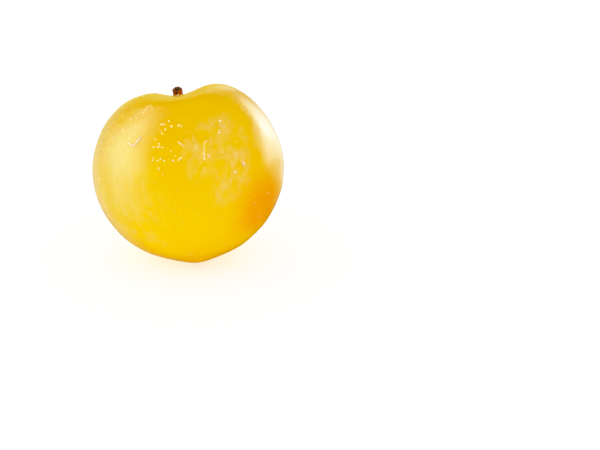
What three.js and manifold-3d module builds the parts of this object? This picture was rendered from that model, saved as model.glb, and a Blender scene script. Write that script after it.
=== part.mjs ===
// A whole yellow dessert plum, as picked: one solid fruit whose stem end leans away, and the short
// woody stub of its stem. Units are millimetres, +Z is up, and the fruit rests on z = 0.
//
// The fruit is first written in a frame of its own, about its middle: the stem axis is +Z, the two
// cheeks are at +X and -X, and the suture, the seam down one side of a plum, is at +Y. There a point
// is found by its polar angle (0 at the stem, PI at the tip) and its azimuth (0 at the right cheek).
// Fruit and stem are then leaned over together into the attitude in which the plum rests.

import * as THREE from 'three';
import { mergeVertices } from 'three/addons/utils/BufferGeometryUtils.js';
import Module from 'manifold-3d';

// The round body: a spheroid, a little wider across the cheeks than from front to back.
const HALF_WIDTH = 27.7;
const HALF_HEIGHT = 27.25;
const CHEEK_SWELL = 0.3;

// The stem end: a broad hollow between the shoulders, with a narrow pit at its middle.
const HOLLOW_DEPTH = 4.3;
const HOLLOW_ANGLE = 0.41;
const PIT_DEPTH = 5.1;
const PIT_ANGLE = 0.17;

// A valley crosses the shoulders from front to back, and the right shoulder is the higher one.
const VALLEY_DEPTH = 3.0;
const SHOULDER_ANGLE = 0.45;
const SHOULDER_RISE = 0.6;

// The suture: deep where it leaves the hollow, shallow down the side, gone before the tip.
const SUTURE_AZIMUTH = Math.PI / 2;
const SUTURE_RIM_DEPTH = 1.9;
const SUTURE_RIM_ANGLE = 0.85;
const SUTURE_SIDE_DEPTH = 1.1;
const SUTURE_END_ANGLE = 2.3;
const SUTURE_START_ANGLE = 0.25;
const SUTURE_WIDTH = 3.0;
const SUTURE_CREASE = 1.5;

// The tip opposite the stem: a low blunt point.
const TIP_HEIGHT = 0.6;
const TIP_ANGLE = 0.16;

// How the plum lies, and how deep its own weight flattens it where it rests.
const LEAN_BACK = THREE.MathUtils.degToRad(23);
const LEAN_LEFT = THREE.MathUtils.degToRad(5);
const REST_FLATTENING = 0.75;

// The stem stub, in the fruit's frame: it rises out of the pit, a little left of its middle, and bends
// towards the front. Its side is an outline of points (radius, distance back from the broken end), from
// the dish in the broken end, over the lip, down to the foot.
const STEM_FOOT = new THREE.Vector3(-0.45, 0, 15.6);
const STEM_BEND = new THREE.Vector3(-0.8, 0, 20.2);
const STEM_END = new THREE.Vector3(-0.7, -1.9, 24.0);
const STEM_OUTLINE = [
  [0, 0.55], [0.5, 0.5], [0.9, 0.15], [1.2, 0], [1.42, 0.2], [1.5, 0.8], [1.42, 1.7],
  [1.36, 3], [1.28, 4.6], [1.2, 6.2], [1.2, 7.6], [1.2, 8.6], [0.9, 8.8], [0, 8.8],
];
const STEM_RIDGES = 5;
const STEM_RIDGE_DEPTH = 0.06;
const STEM_RIDGE_TWIST = 0.25;
const STEM_BREAK_SLANT = 0.2;
const STEM_BREAK_DEPTH = 1.5;

// The hole in the pit's floor that the foot of the stem stands in.
const SOCKET_RADIUS = 1.75;
const SOCKET_FLOOR = STEM_FOOT.z - 0.35;

// How finely the surfaces are divided. The fruit's rows crowd towards the stem end and its columns
// towards the suture, where the form is finest.
const FRUIT_ROWS = 44;
const FRUIT_COLUMNS = 72;
const STEM_END_CROWDING = 1.3;
const SUTURE_CROWDING = 0.6;
const STEM_COLUMNS = 20;
const SOCKET_SIDES = 24;

const FULL_TURN = 2 * Math.PI;

// A smooth bump of height 1 at no distance, about a third of that at its spread, then next to nothing.
function fade(distance, spread, power = 2) {
  return Math.exp(-Math.pow(Math.abs(distance) / spread, power));
}

// How far the suture sinks the skin: its depth along the seam, times its creased section across it.
function sutureDepth(polar, azimuth) {
  const turn = THREE.MathUtils.euclideanModulo(azimuth - SUTURE_AZIMUTH + Math.PI, FULL_TURN) - Math.PI;
  const across = HALF_WIDTH * Math.sin(polar) * turn;
  const rim = SUTURE_RIM_DEPTH * fade(polar, SUTURE_RIM_ANGLE);
  const side = SUTURE_SIDE_DEPTH * fade(polar, SUTURE_END_ANGLE, 4);
  const start = 1 - fade(polar, SUTURE_START_ANGLE);
  return (rim + side) * start * fade(across, SUTURE_WIDTH, SUTURE_CREASE);
}

// The distance from the middle of the fruit to its skin, in one direction.
function skinDistance(polar, azimuth) {
  const wide = Math.sin(polar);
  const high = Math.cos(polar);
  const body = HALF_WIDTH * HALF_HEIGHT / Math.hypot(HALF_HEIGHT * wide, HALF_WIDTH * high);
  const cheeks = CHEEK_SWELL * wide * wide * Math.cos(2 * azimuth);
  const hollow = HOLLOW_DEPTH * fade(polar, HOLLOW_ANGLE) + PIT_DEPTH * fade(polar, PIT_ANGLE);
  const share = (polar / SHOULDER_ANGLE) ** 2;
  const shoulder = share * Math.exp(1 - share);
  const valley = VALLEY_DEPTH * shoulder * Math.sin(azimuth) ** 2;
  const rise = SHOULDER_RISE * shoulder * Math.cos(azimuth);
  const tip = TIP_HEIGHT * fade(Math.PI - polar, TIP_ANGLE);
  return body + cheeks - hollow - valley + rise + tip - sutureDepth(polar, azimuth);
}

// A closed skin of triangles on rows that run from one pole to the other. pointAt gives the point
// for a row and a column, and the first and last rows each shrink to a single point.
function closedSkin(rows, columns, pointAt) {
  const points = [pointAt(0, 0)];
  for (let row = 1; row < rows; row += 1) {
    for (let column = 0; column < columns; column += 1) {
      points.push(pointAt(row, column));
    }
  }
  points.push(pointAt(rows, 0));
  const last = points.length - 1;
  const at = (row, column) => 1 + (row - 1) * columns + (column % columns);
  const triangles = [];
  for (let column = 0; column < columns; column += 1) {
    triangles.push(0, at(1, column), at(1, column + 1));
    for (let row = 1; row < rows - 1; row += 1) {
      triangles.push(at(row, column), at(row + 1, column), at(row + 1, column + 1));
      triangles.push(at(row, column), at(row + 1, column + 1), at(row, column + 1));
    }
    triangles.push(at(rows - 1, column), last, at(rows - 1, column + 1));
  }
  const geometry = new THREE.BufferGeometry().setFromPoints(points);
  geometry.setIndex(triangles);
  return geometry;
}

function fruitSkin() {
  return closedSkin(FRUIT_ROWS, FRUIT_COLUMNS, (row, column) => {
    const polar = Math.PI * (row / FRUIT_ROWS) ** STEM_END_CROWDING;
    const turn = FULL_TURN * column / FRUIT_COLUMNS;
    const azimuth = SUTURE_AZIMUTH + turn - SUTURE_CROWDING * Math.sin(turn);
    const outwards = new THREE.Vector3(
      Math.sin(polar) * Math.cos(azimuth),
      Math.sin(polar) * Math.sin(azimuth),
      Math.cos(polar),
    );
    return outwards.multiplyScalar(skinDistance(polar, azimuth));
  });
}

// The stub: its outline turned round the bent path from the broken end to the foot, with low ridges
// of bark that twist as they run down it. The break is a little higher on its right.
function stemSkin() {
  const path = new THREE.QuadraticBezierCurve3(STEM_END, STEM_BEND, STEM_FOOT);
  const length = STEM_OUTLINE.at(-1)[1];
  const sideways = new THREE.Vector3(1, 0, 0);
  return closedSkin(STEM_OUTLINE.length - 1, STEM_COLUMNS, (row, column) => {
    const [outlineRadius, back] = STEM_OUTLINE[row];
    const turn = FULL_TURN * column / STEM_COLUMNS;
    const ridge = Math.sin(STEM_RIDGES * turn + STEM_RIDGE_TWIST * back);
    const radius = outlineRadius * (1 + STEM_RIDGE_DEPTH * ridge);
    const slant = STEM_BREAK_SLANT * radius * Math.cos(turn) * fade(back, STEM_BREAK_DEPTH);
    const along = (back - slant) / length;
    const down = path.getTangent(Math.max(0, along));
    const front = new THREE.Vector3().crossVectors(sideways, down).normalize();
    const side = new THREE.Vector3().crossVectors(down, front);
    return path.getPoint(along)
      .addScaledVector(side, radius * Math.cos(turn))
      .addScaledVector(front, radius * Math.sin(turn));
  });
}

const wasm = await Module();
wasm.setup();

// A closed geometry as a solid that can be cut, and a cut solid as a geometry again.
function solidOf(geometry) {
  const bare = geometry.clone();
  bare.deleteAttribute('normal');
  bare.deleteAttribute('uv');
  const merged = mergeVertices(bare);
  const vertProperties = Float32Array.from(merged.attributes.position.array);
  const triVerts = Uint32Array.from(merged.index.array);
  return new wasm.Manifold(new wasm.Mesh({ numProp: 3, vertProperties, triVerts }));
}

function geometryOf(solid) {
  const mesh = solid.getMesh();
  const geometry = new THREE.BufferGeometry();
  geometry.setAttribute('position', new THREE.BufferAttribute(mesh.vertProperties, 3));
  geometry.setIndex(new THREE.BufferAttribute(mesh.triVerts, 1));
  return geometry;
}

// The round hole for the stem, from below its foot to above the floor of the pit.
function socketHole() {
  const depth = STEM_BEND.z - SOCKET_FLOOR;
  const hole = new THREE.CylinderGeometry(SOCKET_RADIUS, SOCKET_RADIUS, depth, SOCKET_SIDES);
  hole.rotateX(Math.PI / 2);
  hole.translate(STEM_FOOT.x, STEM_FOOT.y, SOCKET_FLOOR + depth / 2);
  return hole;
}

// The surface that the plum lies on, as a block that takes away what would sink into it.
function restingBlock() {
  const width = 4 * HALF_WIDTH;
  const thickness = HALF_HEIGHT;
  return new THREE.BoxGeometry(width, width, thickness).translate(0, 0, -thickness / 2);
}

// The leaned fruit is centred over the origin by its own box, and sunk by its flattening.
const lean = new THREE.Matrix4().makeRotationFromEuler(new THREE.Euler(-LEAN_BACK, -LEAN_LEFT, 0));
const leanedSkin = fruitSkin().applyMatrix4(lean);
const leanedBox = new THREE.Box3().setFromBufferAttribute(leanedSkin.attributes.position);
const middle = leanedBox.getCenter(new THREE.Vector3());
const lying = new THREE.Matrix4()
  .makeTranslation(-middle.x, -middle.y, -leanedBox.min.z - REST_FLATTENING)
  .multiply(lean);

function buildFruit() {
  const skin = solidOf(fruitSkin().applyMatrix4(lying));
  const socket = solidOf(socketHole().applyMatrix4(lying));
  const block = solidOf(restingBlock());
  const material = new THREE.MeshStandardMaterial({ color: 0xf0c40e, roughness: 0.3, metalness: 0 });
  const mesh = new THREE.Mesh(geometryOf(skin.subtract(socket).subtract(block)), material);
  mesh.name = 'fruit';
  return mesh;
}

function buildStem() {
  const material = new THREE.MeshStandardMaterial({ color: 0x6b3d1a, roughness: 0.8, metalness: 0 });
  const mesh = new THREE.Mesh(stemSkin().applyMatrix4(lying), material);
  mesh.name = 'stem';
  return mesh;
}

const plum = new THREE.Group();
plum.add(buildFruit(), buildStem());

export default plum;
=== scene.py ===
# %% [markdown]
# # A yellow plum
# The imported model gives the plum's true size and place. It is faceted, so the lesson makes a fine skin
# and a fine stem from the same formulas, then gives them their finish: waxy, slightly translucent yellow
# skin with pale bloom, small dots and a mottle where it is wet, fine drops of water, and a dry brown stem.
# Everything is in metres in the end, but the fruit is thought out in millimetres, as a ruler reads it.

# %% load the frame
import math

import bpy
import numpy as np
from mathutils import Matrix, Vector


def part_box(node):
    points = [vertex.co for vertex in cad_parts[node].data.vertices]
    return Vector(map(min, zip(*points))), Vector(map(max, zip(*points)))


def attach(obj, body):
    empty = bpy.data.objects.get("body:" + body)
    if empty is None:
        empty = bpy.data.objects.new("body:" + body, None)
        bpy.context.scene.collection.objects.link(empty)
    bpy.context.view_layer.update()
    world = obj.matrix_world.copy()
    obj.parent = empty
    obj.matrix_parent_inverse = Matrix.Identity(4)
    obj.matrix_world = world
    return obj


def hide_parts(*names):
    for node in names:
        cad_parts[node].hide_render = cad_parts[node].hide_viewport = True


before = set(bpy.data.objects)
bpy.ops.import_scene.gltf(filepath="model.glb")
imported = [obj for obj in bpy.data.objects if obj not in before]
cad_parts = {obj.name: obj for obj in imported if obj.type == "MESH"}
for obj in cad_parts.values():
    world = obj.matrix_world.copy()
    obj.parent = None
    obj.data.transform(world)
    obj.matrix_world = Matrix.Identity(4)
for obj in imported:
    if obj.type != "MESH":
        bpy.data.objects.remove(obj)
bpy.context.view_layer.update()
MM = 0.001
FULL_TURN = 2 * math.pi
SEED = 7
rng = np.random.default_rng(SEED)

# %% [markdown]
# ## Surfaces on a grid
# Every piece here is a skin that runs in rows from one pole to the other, with columns round it. A sphere
# primitive would give even rows, but a formula on a grid lets the rows crowd where the form is finest.
# The two end rows shrink to a point each, so the skin is closed and has no seam of doubled points.

# %% a closed skin from a grid of points
def grid_faces(rows, columns):
    """Triangles at both poles and quads between them, for points numbered pole, rows, pole."""
    ring = np.arange(columns)
    following = (ring + 1) % columns
    starts = 1 + np.arange(rows - 2)[:, None] * columns
    quads = np.stack([starts + ring, starts + columns + ring, starts + columns + following,
                      starts + following], axis=-1).reshape(-1, 4)
    first = np.stack([np.zeros(columns, int), 1 + ring, 1 + following], axis=-1)
    foot = 1 + (rows - 2) * columns
    last = np.stack([foot + ring, np.full(columns, foot + columns), foot + following], axis=-1)
    return quads, np.concatenate([first, last])


def closed_skin(name, grid):
    """A smooth closed mesh. grid is rows x columns x 3 in metres; its end rows are single points."""
    rows, columns = grid.shape[0] - 1, grid.shape[1]
    points = np.concatenate([grid[:1, 0], grid[1:-1].reshape(-1, 3), grid[-1:, 0]])
    quads, triangles = grid_faces(rows, columns)
    mesh = bpy.data.meshes.new(name)
    mesh.from_pydata(points.tolist(), [], quads.tolist() + triangles.tolist())
    mesh.shade_smooth()
    piece = bpy.data.objects.new(name, mesh)
    bpy.context.scene.collection.objects.link(piece)
    print(f"{name}: {len(points)} points, {2 * len(quads) + len(triangles)} triangles")
    return piece

# %% [markdown]
# ## The fruit's form
# A plum is a round body with a hollow at the stem, two shoulders of unequal height, a valley across
# them, and a seam, the suture, down one side. Sculpting could give this, but a formula says it exactly:
# the distance from the fruit's middle to its skin, in every direction. It is the formula of the solid
# part, with the same values, so the fine skin lies where the solid's does.
# The directions are in the fruit's own frame: stem axis up, cheeks left and right, suture at the back.

# %% the fruit's values, in millimetres and radians
HALF_WIDTH = 27.7
HALF_HEIGHT = 27.25
CHEEK_SWELL = 0.3
HOLLOW_DEPTH, HOLLOW_ANGLE = 4.3, 0.41
PIT_DEPTH, PIT_ANGLE = 5.1, 0.17
VALLEY_DEPTH, SHOULDER_ANGLE, SHOULDER_RISE = 3.0, 0.45, 0.6
SUTURE_AZIMUTH = math.pi / 2
SUTURE_RIM_DEPTH, SUTURE_RIM_ANGLE = 1.9, 0.85
SUTURE_SIDE_DEPTH, SUTURE_END_ANGLE = 1.1, 2.3
SUTURE_START_ANGLE, SUTURE_WIDTH, SUTURE_CREASE = 0.25, 3.0, 1.5
TIP_HEIGHT, TIP_ANGLE = 0.6, 0.16
LEAN_BACK, LEAN_LEFT = math.radians(23), math.radians(5)
REST_FLATTENING = 0.75


def fade(distance, spread, power=2):
    """A smooth bump of height 1 at no distance: e to the power of minus (distance / spread) ^ power."""
    return np.exp(-np.abs(distance / spread) ** power)


def suture_depth(polar, azimuth):
    """Depth along the seam times a creased section across it, which is e ^ -(distance / width) ^ 1.5."""
    turn = (azimuth - SUTURE_AZIMUTH + math.pi) % FULL_TURN - math.pi
    across = HALF_WIDTH * np.sin(polar) * turn
    rim = SUTURE_RIM_DEPTH * fade(polar, SUTURE_RIM_ANGLE)
    side = SUTURE_SIDE_DEPTH * fade(polar, SUTURE_END_ANGLE, 4)
    start = 1 - fade(polar, SUTURE_START_ANGLE)
    return (rim + side) * start * fade(across, SUTURE_WIDTH, SUTURE_CREASE)


def skin_distance(polar, azimuth):
    """Middle to skin: a spheroid, plus its cheeks and tip, less hollow, pit, valley and suture."""
    wide, high = np.sin(polar), np.cos(polar)
    body = HALF_WIDTH * HALF_HEIGHT / np.hypot(HALF_HEIGHT * wide, HALF_WIDTH * high)
    cheeks = CHEEK_SWELL * wide ** 2 * np.cos(2 * azimuth)
    hollow = HOLLOW_DEPTH * fade(polar, HOLLOW_ANGLE) + PIT_DEPTH * fade(polar, PIT_ANGLE)
    share = (polar / SHOULDER_ANGLE) ** 2
    shoulder = share * np.exp(1 - share)
    valley = VALLEY_DEPTH * shoulder * np.sin(azimuth) ** 2
    rise = SHOULDER_RISE * shoulder * np.cos(azimuth)
    tip = TIP_HEIGHT * fade(math.pi - polar, TIP_ANGLE)
    return body + cheeks - hollow - valley + rise + tip - suture_depth(polar, azimuth)


def direction(polar, azimuth):
    """The unit vector at a polar angle from the stem axis and an azimuth round it."""
    return np.stack([np.sin(polar) * np.cos(azimuth), np.sin(polar) * np.sin(azimuth),
                     np.cos(polar) * np.ones_like(azimuth)], axis=-1)

# %% [markdown]
# ## A fine skin
# No plum is a perfect formula. Long, low waves, each under a tenth of a millimetre high and 0.3 together
# at the most, break up the highlights as real flesh does. They are a sum of a few sine waves in space,
# with directions drawn once from a seeded generator, so that the fruit is the same on every run.

# %% long low waves in the flesh
def sine_waves(points, lengths, heights, generator):
    """A sum of sine waves through space: height * sin(2 pi * (unit direction . point) / length + phase)."""
    total = np.zeros(points.shape[:-1])
    for length, height in zip(lengths, heights):
        heading = generator.normal(size=3)
        heading /= np.linalg.norm(heading)
        total += height * np.sin(FULL_TURN * (points @ heading) / length + generator.uniform(0, FULL_TURN))
    return total


FRUIT_ROWS, FRUIT_COLUMNS = 250, 384
ROW_CROWDING, SUTURE_CROWDING = 1.25, 0.35
WAVE_LENGTHS = [24, 19, 15, 12, 10, 8.5, 7, 6]
WAVE_HEIGHTS = [0.07, 0.06, 0.05, 0.035, 0.03, 0.02, 0.015, 0.01]

share_down = np.linspace(0, 1, FRUIT_ROWS + 1)[:, None]
turn_round = np.linspace(0, FULL_TURN, FRUIT_COLUMNS, endpoint=False)[None, :]
polar = math.pi * share_down ** ROW_CROWDING + 0 * turn_round
azimuth = SUTURE_AZIMUTH + turn_round - SUTURE_CROWDING * np.sin(turn_round) + 0 * share_down
outwards = direction(polar, azimuth)
own_skin = outwards * skin_distance(polar, azimuth)[..., None]
own_skin += outwards * sine_waves(own_skin, WAVE_LENGTHS, WAVE_HEIGHTS, rng)[..., None]
print("own-frame skin spans, mm:", np.round(np.ptp(own_skin.reshape(-1, 3), axis=0), 2).tolist())

# %% [markdown]
# ## Lying down
# The fruit leans back and a little left, and its weight flattens the skin where it meets the surface.
# The flat is made by lifting every point that would sink below the surface up to it. The place comes
# from the solid's own box, so the fine skin needs no fitting.

# %% from the fruit's own frame to the shared one
def turned(points, angle, axis):
    """Points turned by the right-hand rule about the x axis (0) or the y axis (1)."""
    c, s = math.cos(angle), math.sin(angle)
    about_x = [[1, 0, 0], [0, c, -s], [0, s, c]]
    about_y = [[c, 0, s], [0, 1, 0], [-s, 0, c]]
    return points @ np.array([about_x, about_y][axis]).T


def leaned(points):
    """Left first, about the y axis, then back, about the x axis."""
    return turned(turned(points, -LEAN_LEFT, 1), -LEAN_BACK, 0)


lying_skin = leaned(own_skin)
skin_low, skin_high = lying_skin.reshape(-1, 3).min(axis=0), lying_skin.reshape(-1, 3).max(axis=0)
fruit_low, fruit_high = (np.array(corner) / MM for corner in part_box("fruit"))
MIDDLE = (fruit_low + fruit_high) / 2 - (skin_low + skin_high) / 2
MIDDLE[2] = -skin_low[2] - REST_FLATTENING
print("the fruit's middle, mm:", np.round(MIDDLE, 2).tolist())


def placed(points):
    """Own-frame millimetres to metres in the shared frame, with nothing below the surface."""
    shared = leaned(points) + MIDDLE
    shared[..., 2] = np.maximum(shared[..., 2], 0)
    return shared * MM


fruit = closed_skin("fruit_skin", placed(own_skin))

# %% [markdown]
# ## Coordinates that belong to the fruit
# Streaks follow the fruit's own meridians and the pit has its own colour, so the finish has to know
# where it is on the fruit. Each point of a skin keeps its place in the fruit's own frame as an
# attribute, in millimetres, and the materials read that.

# %% keep own-frame places on the mesh
def keep_vectors(piece, name, grid):
    """Stores one vector for each point of a closed skin, in the skin's own order of points."""
    values = np.concatenate([grid[:1, 0], grid[1:-1].reshape(-1, 3), grid[-1:, 0]])
    layer = piece.data.attributes.new(name, "FLOAT_VECTOR", "POINT")
    layer.data.foreach_set("vector", values.astype(np.float32).ravel())


keep_vectors(fruit, "own_mm", own_skin)
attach(fruit, "root")
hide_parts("fruit")

# %% [markdown]
# ## The stem
# A plum parts from its twig with a short stub of stem left in the pit: a dry ridged rod that bends, swells
# to its broken end, and is dished there. A cylinder pulled about by hand could give this. Here it is a
# profile turned round a bent path, as on the solid part, but with many more rows and cracks along the
# bark. The break is worn further back than the solid's, tilts another way and has a crumbled lip. The
# foot goes straight down into the flesh, where the solid stands in a hole.

# %% the stem's path and profile, in the fruit's own frame
STEM_FOOT = np.array([-0.45, 0, 15.6])
STEM_BEND = np.array([-0.8, 0, 20.2])
STEM_END = np.array([-0.7, -1.9, 24.0])
# each pair: how far out from the path, how far back from the broken end
STEM_OUTLINE = np.array([
    [0, 0.55], [0.5, 0.5], [0.9, 0.15], [1.2, 0], [1.42, 0.2], [1.5, 0.8], [1.42, 1.7],
    [1.36, 3], [1.28, 4.6], [1.2, 6.2], [1.2, 7.6], [1.2, 8.6], [0.9, 8.8], [0, 8.8],
])
STEM_ROWS, STEM_COLUMNS = 150, 96
ROUNDING_PASSES = 6


def bezier(start, bend, end, share):
    """The quadratic curve (1-t)^2 start + 2t(1-t) bend + t^2 end, and its unit tangent."""
    t = share[..., None]
    point = (1 - t) ** 2 * start + 2 * t * (1 - t) * bend + t ** 2 * end
    t = np.clip(t, 0, 1)
    tangent = 2 * (1 - t) * (bend - start) + 2 * t * (end - bend)
    return point, tangent / np.linalg.norm(tangent, axis=-1, keepdims=True)


def along_outline(outline, rows):
    """Evenly spaced points along a polyline: (rows + 1) x 2, corners slightly rounded by averaging."""
    steps = np.linalg.norm(np.diff(outline, axis=0), axis=1)
    reach = np.concatenate([[0], np.cumsum(steps)])
    at = np.linspace(0, reach[-1], rows + 1)
    even = np.stack([np.interp(at, reach, outline[:, i]) for i in (0, 1)], axis=-1)
    for _ in range(ROUNDING_PASSES):
        even[1:-1] = (even[:-2] + 2 * even[1:-1] + even[2:]) / 4
    return even


profile = along_outline(STEM_OUTLINE, STEM_ROWS)
radius_out, back = profile[:, :1], profile[:, 1:]
print(f"stem outline: {radius_out.max():.2f} mm at its widest, {back.max():.1f} mm long")

# %% ridges, and a worn break that tilts
STEM_RIDGES, STEM_RIDGE_DEPTH, STEM_RIDGE_TWIST = 5, 0.06, 0.25
BREAK_SLANT, BREAK_TILT = 0.04, 0.2
BREAK_LOSS, BREAK_REACH = 0.45, 1.5

turn = np.linspace(0, FULL_TURN, STEM_COLUMNS, endpoint=False)[None, :]
ridge = np.sin(STEM_RIDGES * turn + STEM_RIDGE_TWIST * back)
stem_radius = radius_out * (1 + STEM_RIDGE_DEPTH * ridge)
slant = BREAK_SLANT * stem_radius * np.cos(turn) + BREAK_TILT * stem_radius * np.sin(turn)
slant = (slant - BREAK_LOSS) * fade(back, BREAK_REACH)
stem_length = STEM_OUTLINE[-1, 1]
path_point, path_down = bezier(STEM_END, STEM_BEND, STEM_FOOT, (back - slant) / stem_length)
to_front = np.cross(np.array([1.0, 0, 0]), path_down)
to_front /= np.linalg.norm(to_front, axis=-1, keepdims=True)
to_side = np.cross(path_down, to_front)
around = to_side * np.cos(turn)[..., None] + to_front * np.sin(turn)[..., None]
own_stem = path_point + around * stem_radius[..., None]
print("stem spans, mm:", np.round(np.ptp(own_stem.reshape(-1, 3), axis=0), 2).tolist())

# %% cracks in the bark and crumbs on the lip
CRACK_LENGTHS = [2.6, 1.7, 1.1, 0.8, 0.6, 0.5]
CRACK_HEIGHTS = [0.07, 0.06, 0.045, 0.03, 0.02, 0.02]
CRUMB_LENGTHS = [0.9, 0.7, 0.55]
CRUMB_HEIGHTS = [0.09, 0.07, 0.05]
CRUMB_REACH = 0.8
WHOLE_FROM_RADIUS = 1

# both fade out towards the stem's axis, so that each pole stays a clean point
cracks = sine_waves(own_stem, CRACK_LENGTHS, CRACK_HEIGHTS, rng)
crumbs = sine_waves(own_stem, CRUMB_LENGTHS, CRUMB_HEIGHTS, rng) * fade(back, CRUMB_REACH)
off_axis = np.minimum(radius_out, WHOLE_FROM_RADIUS)
own_stem += around * (cracks * off_axis)[..., None]
own_stem -= path_down * (crumbs * off_axis)[..., None]
stem = closed_skin("stem_stub", placed(own_stem))
straight_stem = np.stack([stem_radius * np.cos(turn), stem_radius * np.sin(turn), back + 0 * turn], axis=-1)
keep_vectors(stem, "straight_mm", straight_stem)
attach(stem, "root")
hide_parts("stem")

# %% [markdown]
# ## Camera
# A long lens from about twenty degrees above the level, as for a small thing on a table. The plum sits
# left of and above the middle of a 600 x 450 frame, so the camera looks past it: the two angles below are
# solved so that the fruit's middle falls on its pixel without any lens shift.

# %% camera
FRAME_WIDTH, FRAME_HEIGHT = 600, 450
SENSOR_WIDTH = 36.0
PLUM_PIXEL = (188.3, 168.65)
PIXELS_PER_MM = 190.4 / 56
CAMERA_DISTANCE = 0.65
CAMERA_ELEVATION = math.radians(20)

focal_pixels = CAMERA_DISTANCE / MM * PIXELS_PER_MM
offset_right = (PLUM_PIXEL[0] - FRAME_WIDTH / 2) / focal_pixels
offset_up = (FRAME_HEIGHT / 2 - PLUM_PIXEL[1]) / focal_pixels
slope = math.sqrt(1 + offset_right ** 2 + offset_up ** 2)
pitch = math.atan(offset_up) + math.asin(slope * math.sin(CAMERA_ELEVATION) / math.hypot(1, offset_up))
heading = -math.atan2(offset_right, offset_up * math.sin(pitch) + math.cos(pitch))
plum_middle = MIDDLE * MM
towards_camera = np.array([0, -math.cos(CAMERA_ELEVATION), math.sin(CAMERA_ELEVATION)])

camera_data = bpy.data.cameras.new("camera")
camera_data.sensor_width = SENSOR_WIDTH
camera_data.lens = focal_pixels * SENSOR_WIDTH / FRAME_WIDTH
camera = bpy.data.objects.new("camera", camera_data)
camera.location = plum_middle + towards_camera * CAMERA_DISTANCE * slope
camera.rotation_euler = (math.pi / 2 - pitch, 0, -heading)
bpy.context.scene.collection.objects.link(camera)
bpy.context.scene.camera = camera
print(f"lens {camera_data.lens:.1f} mm")
print(f"pitch {math.degrees(pitch):.2f}, heading {math.degrees(heading):.2f} degrees")

# %% [markdown]
# ## Drops of water
# The fruit has been rinsed. Most of the water has run off, and what is left stands in small domes: a fine
# scatter nearly everywhere, and larger beads, rows and short runs on the front. A particle system could
# strew them, but domes worked out as arrays make one plain mesh that any program reads. Each is a cap of
# a sphere, a little out of round and sunk slightly into the skin, so that no gap shows under its edge.
# They are all one piece, of 84 faces for each drop.
# A drop that is known by where it is seen is put there by a ray from the camera; the scattered
# ones are put there by rays from all round towards the fruit's middle.

# %% places on the skin
def seen_at(pixels):
    """Rays from the camera through pixels, N x 2, of the 600 x 450 frame: one origin, N x 3 directions."""
    across = (pixels[:, 0] - FRAME_WIDTH / 2) / focal_pixels
    up = (FRAME_HEIGHT / 2 - pixels[:, 1]) / focal_pixels
    local = np.stack([across, up, -np.ones(len(pixels))], axis=-1)
    turn_to_world = np.array(camera.rotation_euler.to_matrix())
    rays = local @ turn_to_world.T
    return np.array(camera.location), rays / np.linalg.norm(rays, axis=-1, keepdims=True)


def on_skin(origins, rays):
    """Where each ray first meets the fruit, and the skin's outward direction there."""
    hits = [fruit.ray_cast(Vector(o), Vector(r)) for o, r in zip(origins, rays)]
    met = [(hit[1][:], hit[2][:]) for hit in hits if hit[0]]
    return np.array([place for place, _ in met]), np.array([normal for _, normal in met])


# %% drops where the camera sees them
def strung(corners, spacing):
    """Points along a polyline of pixels at an even spacing, for a run made of drops that touch."""
    corners = np.array(corners, float)
    reach = np.concatenate([[0], np.cumsum(np.linalg.norm(np.diff(corners, axis=0), axis=1))])
    at = np.arange(0, reach[-1] + spacing / 2, spacing)
    return list(zip(np.interp(at, reach, corners[:, 0]), np.interp(at, reach, corners[:, 1])))


RUN_SPACING, DRIP_SPACING = 1.3, 1.9
CHECK_SHAPED_RUN = strung([(128.7, 143.3), (133.7, 146.1), (140.9, 137.8)], RUN_SPACING)
HIGH_RUN = strung([(144.2, 112.2), (149.8, 105)], RUN_SPACING) + [(152.6, 107.8), (151.2, 106)]
SHORT_RUNS = (strung([(178.7, 142.2), (183.7, 145.8)], RUN_SPACING)
              + strung([(178.9, 160.2), (181.6, 157.6)], RUN_SPACING))
DRIP = strung([(204.9, 158.8), (204.3, 152), (204.2, 144), (206.2, 141.4), (210, 140.8)], DRIP_SPACING)
UNDER_THE_HOLLOW = [
    (162.2, 133.6), (160.5, 130.8), (165.4, 129.4), (152.9, 140), (139.8, 126.7), (169, 121),
]
ON_THE_MIDDLE = [
    (162.6, 147.2), (154.2, 147.2), (159.4, 144.2), (158.7, 168.9), (163.1, 174.4), (171, 151),
]
LOWER_ROW = [
    (152.6, 160.6), (154.3, 157.9), (158.1, 160.7), (160.9, 159.3), (164.3, 160.8), (173.4, 160.9),
]
ON_THE_LEFT = [
    (130.9, 119.4), (135.3, 121.1), (121.5, 117), (116, 125.5), (124, 131), (113.4, 137), (138, 118),
]
ON_THE_RIGHT = [
    (218.1, 152.8), (219.4, 155.4), (222.6, 158), (225.9, 153.4), (229.3, 154.6), (230.4, 157),
    (222.4, 152), (216.4, 177.4), (226.8, 156.8),
]
FINE_DROPS = (HIGH_RUN + SHORT_RUNS + DRIP + UNDER_THE_HOLLOW + ON_THE_MIDDLE + LOWER_ROW
              + ON_THE_LEFT + ON_THE_RIGHT)
ROUND_DROPS = [
    (162.3, 124.2), (164.4, 124.4), (171.8, 126.4), (179, 125.6), (181.8, 126.3), (220.1, 120.8),
    (219.2, 130.4), (219.4, 132.4), (208.6, 154.8), (208.8, 156.8), (158.3, 146.9),
] + CHECK_SHAPED_RUN
BEADS = [(235.1, 172.4), (242.5, 162.5), (243.6, 164.6)]

bpy.context.view_layer.update()
camera_place, rays = seen_at(np.array(FINE_DROPS + ROUND_DROPS + BEADS))
seen_places, seen_normals = on_skin(np.broadcast_to(camera_place, rays.shape), rays)
print(len(seen_places), "drops seen from the camera")

# %% drops scattered by chance
SCATTERED = 420
LOWEST_HEADING = -0.9
OUTSIDE = 0.06
FINE_RADII, ROUND_RADII, BEAD_RADII, SCATTERED_RADII = (0.2, 0.36), (0.38, 0.5), (0.58, 0.66), (0.1, 0.25)

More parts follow.
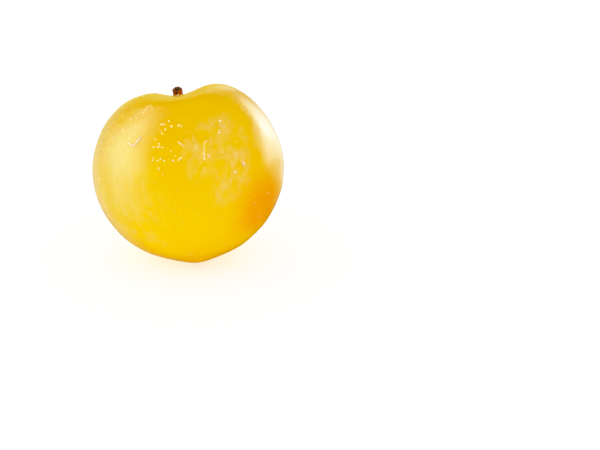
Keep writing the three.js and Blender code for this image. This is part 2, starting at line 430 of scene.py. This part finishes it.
headings = rng.normal(size=(SCATTERED, 3))
headings /= np.linalg.norm(headings, axis=-1, keepdims=True)
headings = headings[headings[:, 2] > LOWEST_HEADING]
scattered_places, scattered_normals = on_skin(plum_middle + headings * OUTSIDE, -headings)
drop_places = np.concatenate([seen_places, scattered_places])
drop_normals = np.concatenate([seen_normals, scattered_normals])
drop_radii = MM * np.concatenate([
    rng.uniform(*FINE_RADII, len(FINE_DROPS)),
    rng.uniform(*ROUND_RADII, len(ROUND_DROPS)),
    rng.uniform(*BEAD_RADII, len(BEADS)),
    rng.uniform(*SCATTERED_RADII, len(scattered_places)),
])
print(len(scattered_places), "drops scattered")

# %% domes
DROP_RINGS, DROP_SIDES = 5, 14
DROP_HEIGHT, DROP_SINK, DROP_ROOT = 0.6, 0.08, 3
DROP_STRETCH, DROP_WANDER = 0.35, 0.1
DROP_OVAL, DROP_LOBES = 0.1, 0.06


def domes(places, normals, radii, generator):
    """Caps height(q) = sqrt(R^2 - (r q)^2) - (R - h), for q from 0 at the top to 1 at the edge."""
    count = len(places)
    radius = radii[:, None, None]
    q = np.linspace(0, 1, DROP_RINGS + 1)[1:][None, :, None]
    round_it = np.linspace(0, FULL_TURN, DROP_SIDES, endpoint=False)[None, None, :]
    phases = generator.uniform(0, FULL_TURN, (count, 2, 1, 1))
    oval = DROP_OVAL * np.sin(2 * round_it + phases[:, 0])
    lobes = DROP_LOBES * np.sin(3 * round_it + phases[:, 1])
    reach = radius * q * (1 + oval + lobes)
    height = DROP_HEIGHT * radius
    ball = (radius ** 2 + height ** 2) / (2 * height)
    lift = np.sqrt(ball ** 2 - (radius * q) ** 2) - (ball - height) + 0 * round_it
    downhill = np.array([0, 0, -1.0]) - normals * -normals[:, 2:]
    downhill += generator.normal(size=downhill.shape) * DROP_WANDER
    downhill -= normals * (downhill * normals).sum(axis=1, keepdims=True)
    downhill /= np.linalg.norm(downhill, axis=1, keepdims=True)
    sideways = np.cross(normals, downhill)
    stretch = 1 + generator.uniform(0, DROP_STRETCH, count)[:, None, None]
    sink = DROP_SINK * radius
    axes = [axis[:, None, None, :] for axis in (downhill, sideways, normals)]
    rings = (places[:, None, None, :] + axes[0] * (reach * stretch * np.cos(round_it))[..., None]
             + axes[1] * (reach * np.sin(round_it))[..., None] + axes[2] * (lift - sink)[..., None])
    top = places + normals * (height - sink)[:, 0]
    bottom = places - normals * (DROP_ROOT * sink)[:, 0]
    return np.concatenate([top[:, None], rings.reshape(count, -1, 3), bottom[:, None]], axis=1)


drop_points = domes(drop_places, drop_normals, drop_radii, rng)
count, each = drop_points.shape[:2]
quads, triangles = grid_faces(DROP_RINGS + 1, DROP_SIDES)
starts = (np.arange(count) * each)[:, None, None]
drop_faces = (quads + starts).reshape(-1, 4).tolist() + (triangles + starts).reshape(-1, 3).tolist()
drop_mesh = bpy.data.meshes.new("water_drops")
drop_mesh.from_pydata(drop_points.reshape(-1, 3).tolist(), [], drop_faces)
drop_mesh.shade_smooth()
drops = bpy.data.objects.new("water_drops", drop_mesh)
bpy.context.scene.collection.objects.link(drops)
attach(drops, "root")
print(f"water_drops: {count} drops, {count * (2 * len(quads) + len(triangles))} triangles")

# %% [markdown]
# ## Writing a material as arithmetic
# A material is a graph of nodes, and graphs are hard to read as code. Here one small class wraps the
# output of a node, so that a sum, a product or `1 - mask` adds the Math node it needs, and one function
# adds any other node from its type, its settings and its inputs.

# %% nodes from expressions
class Wire:
    """One output socket. Arithmetic on it adds Math nodes to the same tree."""

    def __init__(self, tree, socket):
        self.tree, self.socket = tree, socket

    def maths(self, operation, *values):
        return add_node(self.tree, "ShaderNodeMath", {"operation": operation}, *values)

    def __add__(self, other):
        return self.maths("ADD", self, other)

    def __radd__(self, other):
        return self.maths("ADD", other, self)

    def __rsub__(self, other):
        return self.maths("SUBTRACT", other, self)

    def __mul__(self, other):
        return self.maths("MULTIPLY", self, other)

    def __rmul__(self, other):
        return self.maths("MULTIPLY", other, self)

    def step(self, low, high):
        """0 below low, 1 above high, and an S-curve between; a low above high turns it round."""
        settings = {"interpolation_type": "SMOOTHSTEP"}
        return add_node(self.tree, "ShaderNodeMapRange", settings, self, low, high, 0.0, 1.0)


def set_inputs(tree, node, places):
    """Links a wire to its input, and sets any other value on the input itself."""
    for place, value in places:
        if isinstance(value, Wire):
            tree.links.new(value.socket, node.inputs[place])
        else:
            node.inputs[place].default_value = value


def add_node(tree, kind, settings, *inputs, output=0, **named):
    """Adds a node: settings first, then inputs in order, then inputs by name (spaces as underscores)."""
    node = tree.nodes.new(kind)
    for key, value in settings.items():
        setattr(node, key, value)
    set_inputs(tree, node, enumerate(inputs))
    set_inputs(tree, node, [(key.replace("_", " "), value) for key, value in named.items()])
    return Wire(tree, node.outputs[output])

# %% colours, patterns and distances
MIX_FACTOR, MIX_UNDER, MIX_OVER, MIX_RESULT = 0, 6, 7, 2
ORIGIN = (0.0, 0.0, 0.0)


def blend(mask, under, over):
    """A colour that goes from under to over as the mask goes from 0 to 1."""
    node = mask.tree.nodes.new("ShaderNodeMix")
    node.data_type = "RGBA"
    set_inputs(mask.tree, node, [(MIX_FACTOR, mask), (MIX_UNDER, under), (MIX_OVER, over)])
    return Wire(mask.tree, node.outputs[MIX_RESULT])


def scaled(vector, *factors):
    """A vector with each component multiplied by its factor."""
    return add_node(vector.tree, "ShaderNodeVectorMath", {"operation": "MULTIPLY"}, vector, factors)


def noise(vector, scale, detail, roughness=0.5):
    """Fractal noise from 0 to 1 with features about 1 / scale across; more detail adds finer ones."""
    return add_node(vector.tree, "ShaderNodeTexNoise", {"noise_dimensions": "3D"}, Vector=vector,
                    Scale=scale, Detail=detail, Roughness=roughness)


def spots(vector, scale):
    """How far each place is from the nearest of many scattered points, which lie about 1 / scale apart."""
    return add_node(vector.tree, "ShaderNodeTexVoronoi", {"feature": "F1"}, Vector=vector, Scale=scale)


def distance_to(vector, point):
    """How far each place is from a point, in the vector's own units."""
    settings = {"operation": "DISTANCE"}
    return add_node(vector.tree, "ShaderNodeVectorMath", settings, vector, tuple(point), output=1)


def patch(vector, where):
    """A mask round a place. where is: the place, the distance it begins at, the distance it is full at."""
    place, begins, full = where
    return distance_to(vector, place).step(begins, full)


def paint(red, green, blue):
    """A colour read off a colour chart (0 to 255) as the linear values that shaders add and multiply."""
    chart = np.array([red, green, blue]) / 255
    linear = np.where(chart <= 0.04045, chart / 12.92, ((chart + 0.055) / 1.055) ** 2.4)
    return (*linear.tolist(), 1.0)

# %% a material and its surface
def new_material(name, attribute):
    """An empty material, its tree, and a wire that carries the named attribute."""
    material = bpy.data.materials.new(name)
    material.use_nodes = True
    tree = material.node_tree
    tree.nodes.clear()
    place = add_node(tree, "ShaderNodeAttribute", {"attribute_name": attribute}, output=1)
    return material, tree, place


def put_on(piece, material, surface):
    """The surface as the material's output, and the material on the piece."""
    tree = material.node_tree
    out = tree.nodes.new("ShaderNodeOutputMaterial")
    tree.links.new(surface.socket, out.inputs["Surface"])
    piece.data.materials.append(material)
    print(f"{material.name}: {len(tree.nodes)} nodes, on {piece.name}")


def finish(piece, material, tree, **inputs):
    """A Principled shader with those inputs, as the material's surface, on the piece."""
    put_on(piece, material, add_node(tree, "ShaderNodeBsdfPrincipled", {}, **inputs))

# %% [markdown]
# ## Skin
# The skin of a ripe yellow plum is thin, glossy and a little translucent: light goes in, reddens in the
# flesh and comes out nearby, which is why its shadows are orange, not grey. A painted texture could be
# wrapped round the fruit, but it would stretch at the poles and blur close up. Instead each feature is a
# mask, made of noise or of the distance from a place on the fruit, and each mask blends one colour over
# what is under it.
# The yellow comes first. It drifts between two golds, leans to lemon on the left and in front, and
# turns orange low on the right, partly as ripeness and partly as painted shade and orange light thrown
# back, as if from a fruit lying beside it. It turns olive round the stem, and the seam has painted shade.

# %% the yellow of the flesh
GOLD, BRIGHT_GOLD = paint(246, 184, 0), paint(249, 192, 0)
LEMON, GREEN_LEMON = paint(250, 198, 0), paint(234, 187, 0)
ORANGE_RIPE_AND_SHADE, DEEP_GOLD = paint(240, 144, 0), paint(231, 173, 0)
# the seam's brown is painted shade in its crease
SEAM_SHADE, OLIVE = paint(222, 146, 0), paint(206, 176, 10)
# each place in the fruit's own millimetres, then where its patch begins and where it is full
LEMON_FRONT = ((-5.0, -24.0, -9.0), 26, 8)
LEMON_CHEEK = ((-27.0, -6.0, 0.0), 27, 12)
# the ripe side's orange is partly painted shade and painted orange bounce light
RIPE_AND_SHADED_SIDE = ((22.0, -14.0, -14.5), 15.5, 4)
RIGHT_CHEEK = ((26.0, -7.0, 8.0), 18, 8)
SEAM_SIDE = ((0.0, 27.0, -4.0), 30, 16)
STEM_PIT = ((-0.4, 0.0, 17.0), 6.5, 3)


def flesh_colour(own):
    """Gold with four large tints, then painted shade in the seam, where |x| is small on its side, and the
    pit.
    """
    flesh = blend(noise(own, 0.045, detail=2.0).step(0.35, 0.65), GOLD, BRIGHT_GOLD)
    flesh = blend(patch(own, LEMON_FRONT) * 0.45, flesh, LEMON)
    flesh = blend(patch(own, LEMON_CHEEK) * 0.9, flesh, GREEN_LEMON)
    # orange low on the right: partly ripeness, partly painted shade and orange light as thrown back by a
    # fruit close by
    flesh = blend(patch(own, RIPE_AND_SHADED_SIDE) * 0.95, flesh, ORANGE_RIPE_AND_SHADE)
    flesh = blend(patch(own, RIGHT_CHEEK) * 0.7, flesh, DEEP_GOLD)
    # painted shade: the seam's crease is darkened towards brown
    seam = distance_to(scaled(own, 1.0, 0.0, 0.0), ORIGIN).step(1.5, 0.1) * patch(own, SEAM_SIDE)
    flesh = blend(seam * 0.55, flesh, SEAM_SHADE)
    return blend(patch(own, STEM_PIT) * 0.5, flesh, OLIVE)

# %% [markdown]
# ## Bloom
# Bloom is a film of pale wax. Fingers and rain wear it off, so it is left in clouds with ragged, wispy
# edges: one large cloud on the right of the front, with a thumb mark worn thin in it, a small one below,
# and a few wherever nobody has touched the fruit. A single noise would give even clouds all over, so the
# clouds, their wisps and the places where they may lie are three masks multiplied together.

# %% the film of wax
FRONT_CLOUD = ((10.5, -25.0, 2.0), 14.5, 8)
LOW_CLOUD = ((9.2, -24.0, -9.2), 5.5, 1.5)
THUMB_MARK = ((8.0, -26.0, -3.6), 5.5, 2)
WORN_FRONT = ((0.0, -22.0, 8.0), 34, 26)
OFF_THE_CHEEK = ((28.0, -2.0, 0.0), 20.5, 23.5)


def bloom(own):
    """How thick the wax lies, 0 to 1: clouds * wisps * (places that nothing has rubbed)."""
    clouds = noise(own, 0.17, detail=3.0).step(0.3, 0.66)
    wisps = noise(scaled(own, 1.0, 1.0, 0.6), 0.5, detail=5.0, roughness=0.65).step(0.39, 0.61)
    elsewhere = noise(own, 0.06, detail=1.0).step(0.5, 0.68) * (1.0 - patch(own, WORN_FRONT))
    in_front = patch(own, FRONT_CLOUD) * patch(own, OFF_THE_CHEEK) * (1.0 - patch(own, THUMB_MARK) * 0.7)
    unrubbed = elsewhere + in_front + patch(own, LOW_CLOUD) * 0.75
    return clouds * (0.12 + 0.96 * wisps) * unrubbed

# %% [markdown]
# ## Small marks
# A plum's skin is never one colour close up. Water dries on the upper left in a fine mottle, pale streaks
# run down the left cheek, pale dots, the lenticels, and darker freckles lie everywhere, and a small brown
# scar is left at the tip where the flower stood. The dots are circles round the points of a Voronoi
# pattern, because noise has no round spots.

# %% mottle, streaks, dots, freckles and the tip's scar
MOTTLE_PALE, MOTTLE_DEEP = paint(252, 216, 60), paint(234, 172, 0)
STREAK, DOT, FRECKLE = paint(247, 218, 120), paint(250, 222, 110), paint(226, 160, 0)
TIP_RING, TIP_SCAR = paint(226, 150, 10), paint(112, 62, 22)
WET_SHOULDER = ((-20.0, -11.0, 13.0), 17, 8)
LEFT_CHEEK = ((-20.0, -16.0, -8.0), 17, 7)
TIP = (0.0, 0.0, -27.5)


def mottled(own, colour, wet_shoulder):
    """The colour with paler and deeper grains, faint everywhere and strong on the wet shoulder."""
    mottle = noise(own, 0.9, detail=3.0, roughness=0.6)
    colour = blend(mottle.step(0.42, 0.7) * (0.12 + 0.35 * wet_shoulder), colour, MOTTLE_PALE)
    return blend(mottle.step(0.5, 0.3) * (0.12 + 0.4 * wet_shoulder), colour, MOTTLE_DEEP)


def marked(own, colour, streaks):
    """The colour with streaks on the left cheek, dots and freckles all over, and the scar at the tip."""
    colour = blend(streaks.step(0.4, 0.75) * patch(own, LEFT_CHEEK) * 0.25, colour, STREAK)
    colour = blend(spots(own, 0.5).step(0.16, 0.06) * 0.16, colour, DOT)
    colour = blend(spots(own, 0.8).step(0.16, 0.05) * 0.35, colour, FRECKLE)
    from_tip = distance_to(own, TIP)
    colour = blend(from_tip.step(3.2, 0.8) * 0.5, colour, TIP_RING)
    return blend(from_tip.step(0.9, 0.5) * 0.9, colour, TIP_SCAR)

# %% [markdown]
# ## Fine relief, and the finished skin
# Grain, dimples and faint ribs are under a tenth of a millimetre high. A finer mesh could carry them, but
# at many times the triangles, so they are a bump. So is the mist: droplets too small to be domes, thickest
# on the wet shoulder, which break a highlight up into sparks. Under the shader's gloss a share of the
# light goes through the flesh: red travels farthest and blue hardly at all, and that gives the shadows
# their orange.

# %% skin material
# depths in metres; the reach is how far red, green and blue light travel, as shares of the flesh's depth
BUMP_DEPTH = 0.0001
FLESH_DEPTH, FLESH_REACH = 0.003, (1.0, 0.45, 0.08)
WAX = paint(246, 202, 130)


def relief(own, wet_shoulder):
    """Heights added up: grain, dimples, ribs along the meridians, and mist."""
    grain = noise(own, 2.2, detail=3.0)
    dimples = noise(own, 0.35, detail=2.0)
    ribs = noise(scaled(own, 1.4, 1.4, 0.1), 1.0, detail=2.0)
    wet = noise(own, 0.12, detail=2.0).step(0.42, 0.6)
    mist = spots(own, 1.0).step(0.36, 0.04) * (0.3 * wet + 0.8 * wet_shoulder)
    return 0.2 * grain + 0.6 * dimples + 0.35 * ribs + mist


def skin_finish(piece):
    """The colours laid over one another in order; the wax and the streaks also dull the gloss a little."""
    material, tree, own = new_material("plum_skin", "own_mm")
    wet_shoulder = patch(own, WET_SHOULDER)
    wax = bloom(own)
    streaks = noise(scaled(own, 0.4, 0.4, 0.14), 1.0, detail=3.0)
    colour = mottled(own, flesh_colour(own), wet_shoulder)
    colour = blend(wax * 0.38, colour, WAX)
    colour = marked(own, colour, streaks)
    height = relief(own, wet_shoulder)
    bump = add_node(tree, "ShaderNodeBump", {}, Strength=1.0, Distance=BUMP_DEPTH, Height=height)
    finish(
        piece, material, tree,
        Base_Color=colour, Roughness=0.14 + 0.12 * wax + 0.05 * streaks, Normal=bump, IOR=1.45,
        Subsurface_Weight=0.3, Subsurface_Radius=FLESH_REACH, Subsurface_Scale=FLESH_DEPTH,
    )


skin_finish(fruit)

# %% [markdown]
# ## Bark
# The stub is dry and dull: patches of dark red and lighter brown bark down its sides, darker in the
# cracks, paler where it flakes, and a brown broken end with a dark middle. Fibres run along a
# stem, so the noise is stretched along it: the pattern follows the straight stem that the profile was
# turned on, and bends with the real one.

# %% bark material
RED_BARK, BROWN_BARK = paint(92, 12, 10), paint(190, 88, 36)
CRACK, FLAKE = paint(66, 14, 10), paint(214, 134, 80)
DARK_WOOD, PALE_WOOD, WOOD_CORE = paint(74, 26, 10), paint(140, 84, 30), paint(36, 10, 8)
BARK_BUMP_DEPTH = 0.0004


def bark_finish(piece):
    """Bark in patches, with cracks and flakes; broken wood where the radius and the way back are small."""
    material, tree, straight = new_material("stem_bark", "straight_mm")
    radius = distance_to(scaled(straight, 1.0, 1.0, 0.0), ORIGIN)
    back = add_node(tree, "ShaderNodeSeparateXYZ", {}, straight, output=2)
    fibres = noise(scaled(straight, 2.6, 2.6, 0.45), 1.0, detail=5.0, roughness=0.65)
    crumbs = noise(straight, 2.2, detail=4.0, roughness=0.6)
    patches = noise(scaled(straight, 0.9, 0.9, 0.6), 1.0, detail=1.0)
    bark = blend(patches.step(0.42, 0.58), RED_BARK, BROWN_BARK)
    bark = blend(fibres.step(0.55, 0.4) * 0.6, bark, CRACK)
    bark = blend(crumbs.step(0.58, 0.8) * 0.5, bark, FLAKE)
    broken = radius.step(1.42, 1.2) * back.step(1.5, 1.1)
    wood = blend(crumbs.step(0.4, 0.62), DARK_WOOD, PALE_WOOD)
    wood = blend(radius.step(0.95, 0.4), wood, WOOD_CORE)
    bark = blend(broken, bark, wood)
    height = fibres + crumbs * 0.6
    bump = add_node(tree, "ShaderNodeBump", {}, Strength=0.7, Distance=BARK_BUMP_DEPTH, Height=height)
    finish(piece, material, tree, Base_Color=bark, Roughness=0.75 + 0.1 * crumbs, Normal=bump)


bark_finish(stem)

# %% [markdown]
# ## Water
# Water has almost no colour of its own: it bends light by 1.33, and its top mirrors the lights. Plain
# glass would do for a large drop, but drops this small have to sparkle to be seen, so a thin clear coat
# makes their tops a little brighter. Water that has stood on the wax is slightly cloudy, so a small
# share of it scatters light as milk does.

# %% water material
WATER_TINT = (0.96, 0.88, 0.78, 1)
CLEAR_SHARE = 0.96
WATER_IOR, COAT_IOR = 1.33, 1.6


def water_finish(piece):
    """Clear water with a bright coat; a faint ripple varies the gloss from drop to drop."""
    material, tree, place = new_material("water", "position")
    ripple = noise(place, 900.0, detail=1.0)
    finish(piece, material, tree, Base_Color=WATER_TINT, Transmission_Weight=CLEAR_SHARE, IOR=WATER_IOR,
           Roughness=0.02 + 0.03 * ripple, Coat_Weight=1.0, Coat_Roughness=0.02, Coat_IOR=COAT_IOR)


water_finish(drops)

# %% [markdown]
# ## Floor
# The fruit lies on a plain white sheet that runs out past every edge of the view. A square would show its
# corners from low down, so it is a disc. It is rough, so that nothing is drawn in it, and it glows at
# half of full white, as a sheet on a light table does, which fills the fruit's underside with light.
# Mirrors do not see it: the skin mirrors only what the next step gives it.

# %% floor
FLOOR_RADIUS, FLOOR_CORNERS = 3.0, 96
FLOOR_GREY, FLOOR_GLOW = (0.9, 0.9, 0.9, 1), 0.5


def round_sheet(name, radius):
    """A flat disc at height 0: one polygon of points radius * (cos, sin) round the resting place."""
    rim = np.linspace(0, FULL_TURN, FLOOR_CORNERS, endpoint=False)
    corners = radius * np.stack([np.cos(rim), np.sin(rim), 0 * rim], axis=-1)
    mesh = bpy.data.meshes.new(name)
    mesh.from_pydata(corners.tolist(), [], [tuple(range(len(rim)))])
    sheet = bpy.data.objects.new(name, mesh)
    bpy.context.scene.collection.objects.link(sheet)
    return sheet


def floor_finish(piece):
    """A rough white that gives off a little light of its own; slow noise keeps its gloss uneven."""
    material, tree, place = new_material("studio_floor", "position")
    sweep = noise(place, 3.0, detail=2.0)
    finish(piece, material, tree, Base_Color=FLOOR_GREY, Roughness=0.55 + 0.1 * sweep, IOR=1.45,
           Emission_Color=(1, 1, 1, 1), Emission_Strength=FLOOR_GLOW)


floor = round_sheet("studio_floor", FLOOR_RADIUS)
floor.visible_glossy = False
floor_finish(floor)

# %% [markdown]
# ## What the skin mirrors
# A glossy fruit is a mirror, so the shape of everything round it is drawn in its skin. Area lights would
# draw hard rectangles there. Instead a sphere that only mirrors see stands round the fruit, and each of
# its points keeps its own brightness: a tall soft box over the left cheek, a paler sheet low on the left,
# a small bright box low behind on the right, a faint edge of light straight behind, and a yellow card
# there too, so that the far rim, which mirrors most, stays yellow. Each patch is placed by the highlight
# it has to make, and the rest of the sphere is dark, so that the yellow of the skin stays deep.

# %% soft patches of light
# azimuth, elevation, half width, half height, sideways lean for each degree up, power, brightness
LEFT_BOX = [
    (174, 28, 36.5, 35, -0.3, 5, 2.6),
    (176, 26, 21, 25, -0.4, 3, 3.4),
    (207, 20, 11, 15, 0, 2, 1.8),
    (124, 40, 10, 7, 0, 2, 3.2),
]
LEFT_SHEET = [
    (187, -15, 21, 17, -0.3, 3, 1.9),
    (148, -14, 40, 30, 0, 4, 0.75),
]
RIGHT_BOX = [
    (42, 7, 25, 15.5, 0, 6, 3.35),
    (44, 8, 10, 7, 0, 2, 6.2),
    (60, -12, 18, 10, 0, 2, 1.8),
    (80, 12, 6, 9, 0, 2, 1.2),
]
FAR_EDGE = [
    (95, -8, 8, 6, 0, 2, 0.36),
    (88, 12, 5, 6, 0, 2, 0.62),
    (116, -20, 10, 14, 0, 2, 0.3),
]
WARM_CARD = [(96, 0, 16, 22, 0, 4, 0.5)]
WHITE, WARM = (1.0, 1.0, 1.0), (1.0, 0.93, 0.06)


def glow_at(azimuth, elevation):
    """The sum of soft-edged patches: colour * brightness * fade(sideways / width) * fade(up / height)."""
    total = np.zeros(azimuth.shape + (3,))
    for patches, colour in [(LEFT_BOX + LEFT_SHEET + RIGHT_BOX + FAR_EDGE, WHITE), (WARM_CARD, WARM)]:
        for across, up, wide, high, lean, power, brightness in patches:
            rise = elevation - up
            aside = (azimuth - across - lean * rise + 180) % 360 - 180
            shape = fade(aside, wide, power) * fade(rise, high, power)
            total += brightness * shape[..., None] * np.array(colour)
    return total

# %% the sphere that mirrors see
GLOW_REACH = 1.3
GLOW_STEP = math.radians(3)

from_top, round_it = np.meshgrid(
    np.arange(0, math.pi + GLOW_STEP / 2, GLOW_STEP),
    np.arange(0, FULL_TURN, GLOW_STEP),
    indexing="ij",
)
glow = glow_at(np.degrees(round_it), 90 - np.degrees(from_top))
dome = closed_skin("studio_glow", plum_middle + GLOW_REACH * direction(from_top, round_it))
keep_vectors(dome, "glow", glow)
print(f"the brightest patch is {glow.max():.1f} times white")


def glow_finish(piece):
    """Light of each point's own colour and strength, which lights nothing and is only mirrored."""
    material, tree, kept_glow = new_material("studio_glow", "glow")
    material.cycles.emission_sampling = "NONE"
    put_on(piece, material, add_node(tree, "ShaderNodeEmission", {}, Color=kept_glow, Strength=1.0))


glow_finish(dome)
dome.visible_camera = False
dome.visible_diffuse = False
dome.visible_shadow = False
dome.visible_transmission = False

# %% [markdown]
# ## Lights
# A white room gives the soft, even light: one large panel overhead and one on each side, each a little
# brighter or dimmer than the next, so that the form still shows. Mirrors do not see them, as the sphere
# already says what the skin mirrors. Three small lights reach the drops alone: each drop then has its
# sparkle, and the skin has no mark from them. The world behind everything is white for the camera only.

# %% lights
def soft_light(name, azimuth, elevation, distance, width, height, radiance):
    """A rectangle facing the plum from a direction in degrees; its power is radiance * pi * area."""
    data = bpy.data.lights.new(name, "AREA")
    data.shape = "RECTANGLE"
    data.size, data.size_y = width, height
    data.energy = radiance * math.pi * width * height
    light = bpy.data.objects.new(name, data)
    unit = Vector(direction(math.radians(90 - elevation), math.radians(azimuth)))
    light.location = Vector(plum_middle) + unit * distance
    light.rotation_euler = unit.to_track_quat("Z", "Y").to_euler()
    light.visible_camera = False
    bpy.context.scene.collection.objects.link(light)
    print(f"{name}: from {azimuth} degrees round and {elevation} up")
    return light


ROOM_RADIANCE = 1.02
ROOM_DISTANCE = 1.6
CEILING_SIZE = (3.6, 3.6)
WALL_ELEVATION, WALL_SIZE = 15, (3.0, 1.8)
# azimuth and brightness, as a share of the room's
WALLS = {
    "room_right": (0, 0.85),
    "room_behind": (90, 1.2),
    "room_left": (180, 1),
    "room_before": (270, 0.96),
}
CEILING_SHARE = 0.88

room = [soft_light("room_ceiling", 90, 89, ROOM_DISTANCE, *CEILING_SIZE, CEILING_SHARE * ROOM_RADIANCE)]
for name, (azimuth, share) in WALLS.items():
    room.append(soft_light(name, azimuth, WALL_ELEVATION, ROOM_DISTANCE, *WALL_SIZE, share * ROOM_RADIANCE))
for light in room:
    light.visible_glossy = False

# %% lights for the drops alone
SPARKLE_DISTANCE = 0.8
SPARKLE_COLOUR = (1.0, 0.9, 0.84)

wet = bpy.data.collections.new("wet")
wet.objects.link(drops)
sparkles = [
    soft_light("sparkle_before", -98, 45, SPARKLE_DISTANCE, 1.1, 0.8, 1.5),
    soft_light("sparkle_left", -174, 32, SPARKLE_DISTANCE, 0.7, 0.7, 7.0),
    soft_light("sparkle_right", -25, 9, SPARKLE_DISTANCE, 0.6, 0.6, 5.0),
]
for light in sparkles:
    light.data.color = SPARKLE_COLOUR
    light.light_linking.receiver_collection = wet
    light.visible_diffuse = False

# %% white behind everything, for the camera only
world = bpy.data.worlds.new("studio")
world.use_nodes = True
world.node_tree.nodes["Background"].inputs["Color"].default_value = (1, 1, 1, 1)
bpy.context.scene.world = world
for kind in ("diffuse", "glossy", "transmission", "scatter"):
    setattr(world.cycles_visibility, kind, False)

# %% [markdown]
# ## A camera's shoulder
# A plain display cuts every value above 1, so a bright highlight on yellow turns flat: red cuts first, then
# green. A camera bends its curve instead. Values up to about 0.7 pass almost unchanged, and those from
# there to 1.3 are pressed into what is left. A trace of blue is taken away, as deep yellow has none.

# %% tone curve
WHITE_LEVEL = 1.5
BLUE_BLACK = 0.012
# each pair: the value in the scene, and what is shown
SHOULDER = [(0.7, 0.705), (0.9, 0.85), (1.1, 0.94), (1.22, 0.975), (1.32, 1.0)]
ALL_CHANNELS = 3

view = bpy.context.scene.view_settings
view.view_transform = "Standard"
view.use_curve_mapping = True
curve_mapping = view.curve_mapping
curve_mapping.white_level = (WHITE_LEVEL, WHITE_LEVEL, WHITE_LEVEL)
curve_mapping.black_level = (0, 0, BLUE_BLACK)
for value, shown in SHOULDER:
    curve_mapping.curves[ALL_CHANNELS].points.new(value / WHITE_LEVEL, shown)
curve_mapping.update()
print("shown values:", dict(SHOULDER))
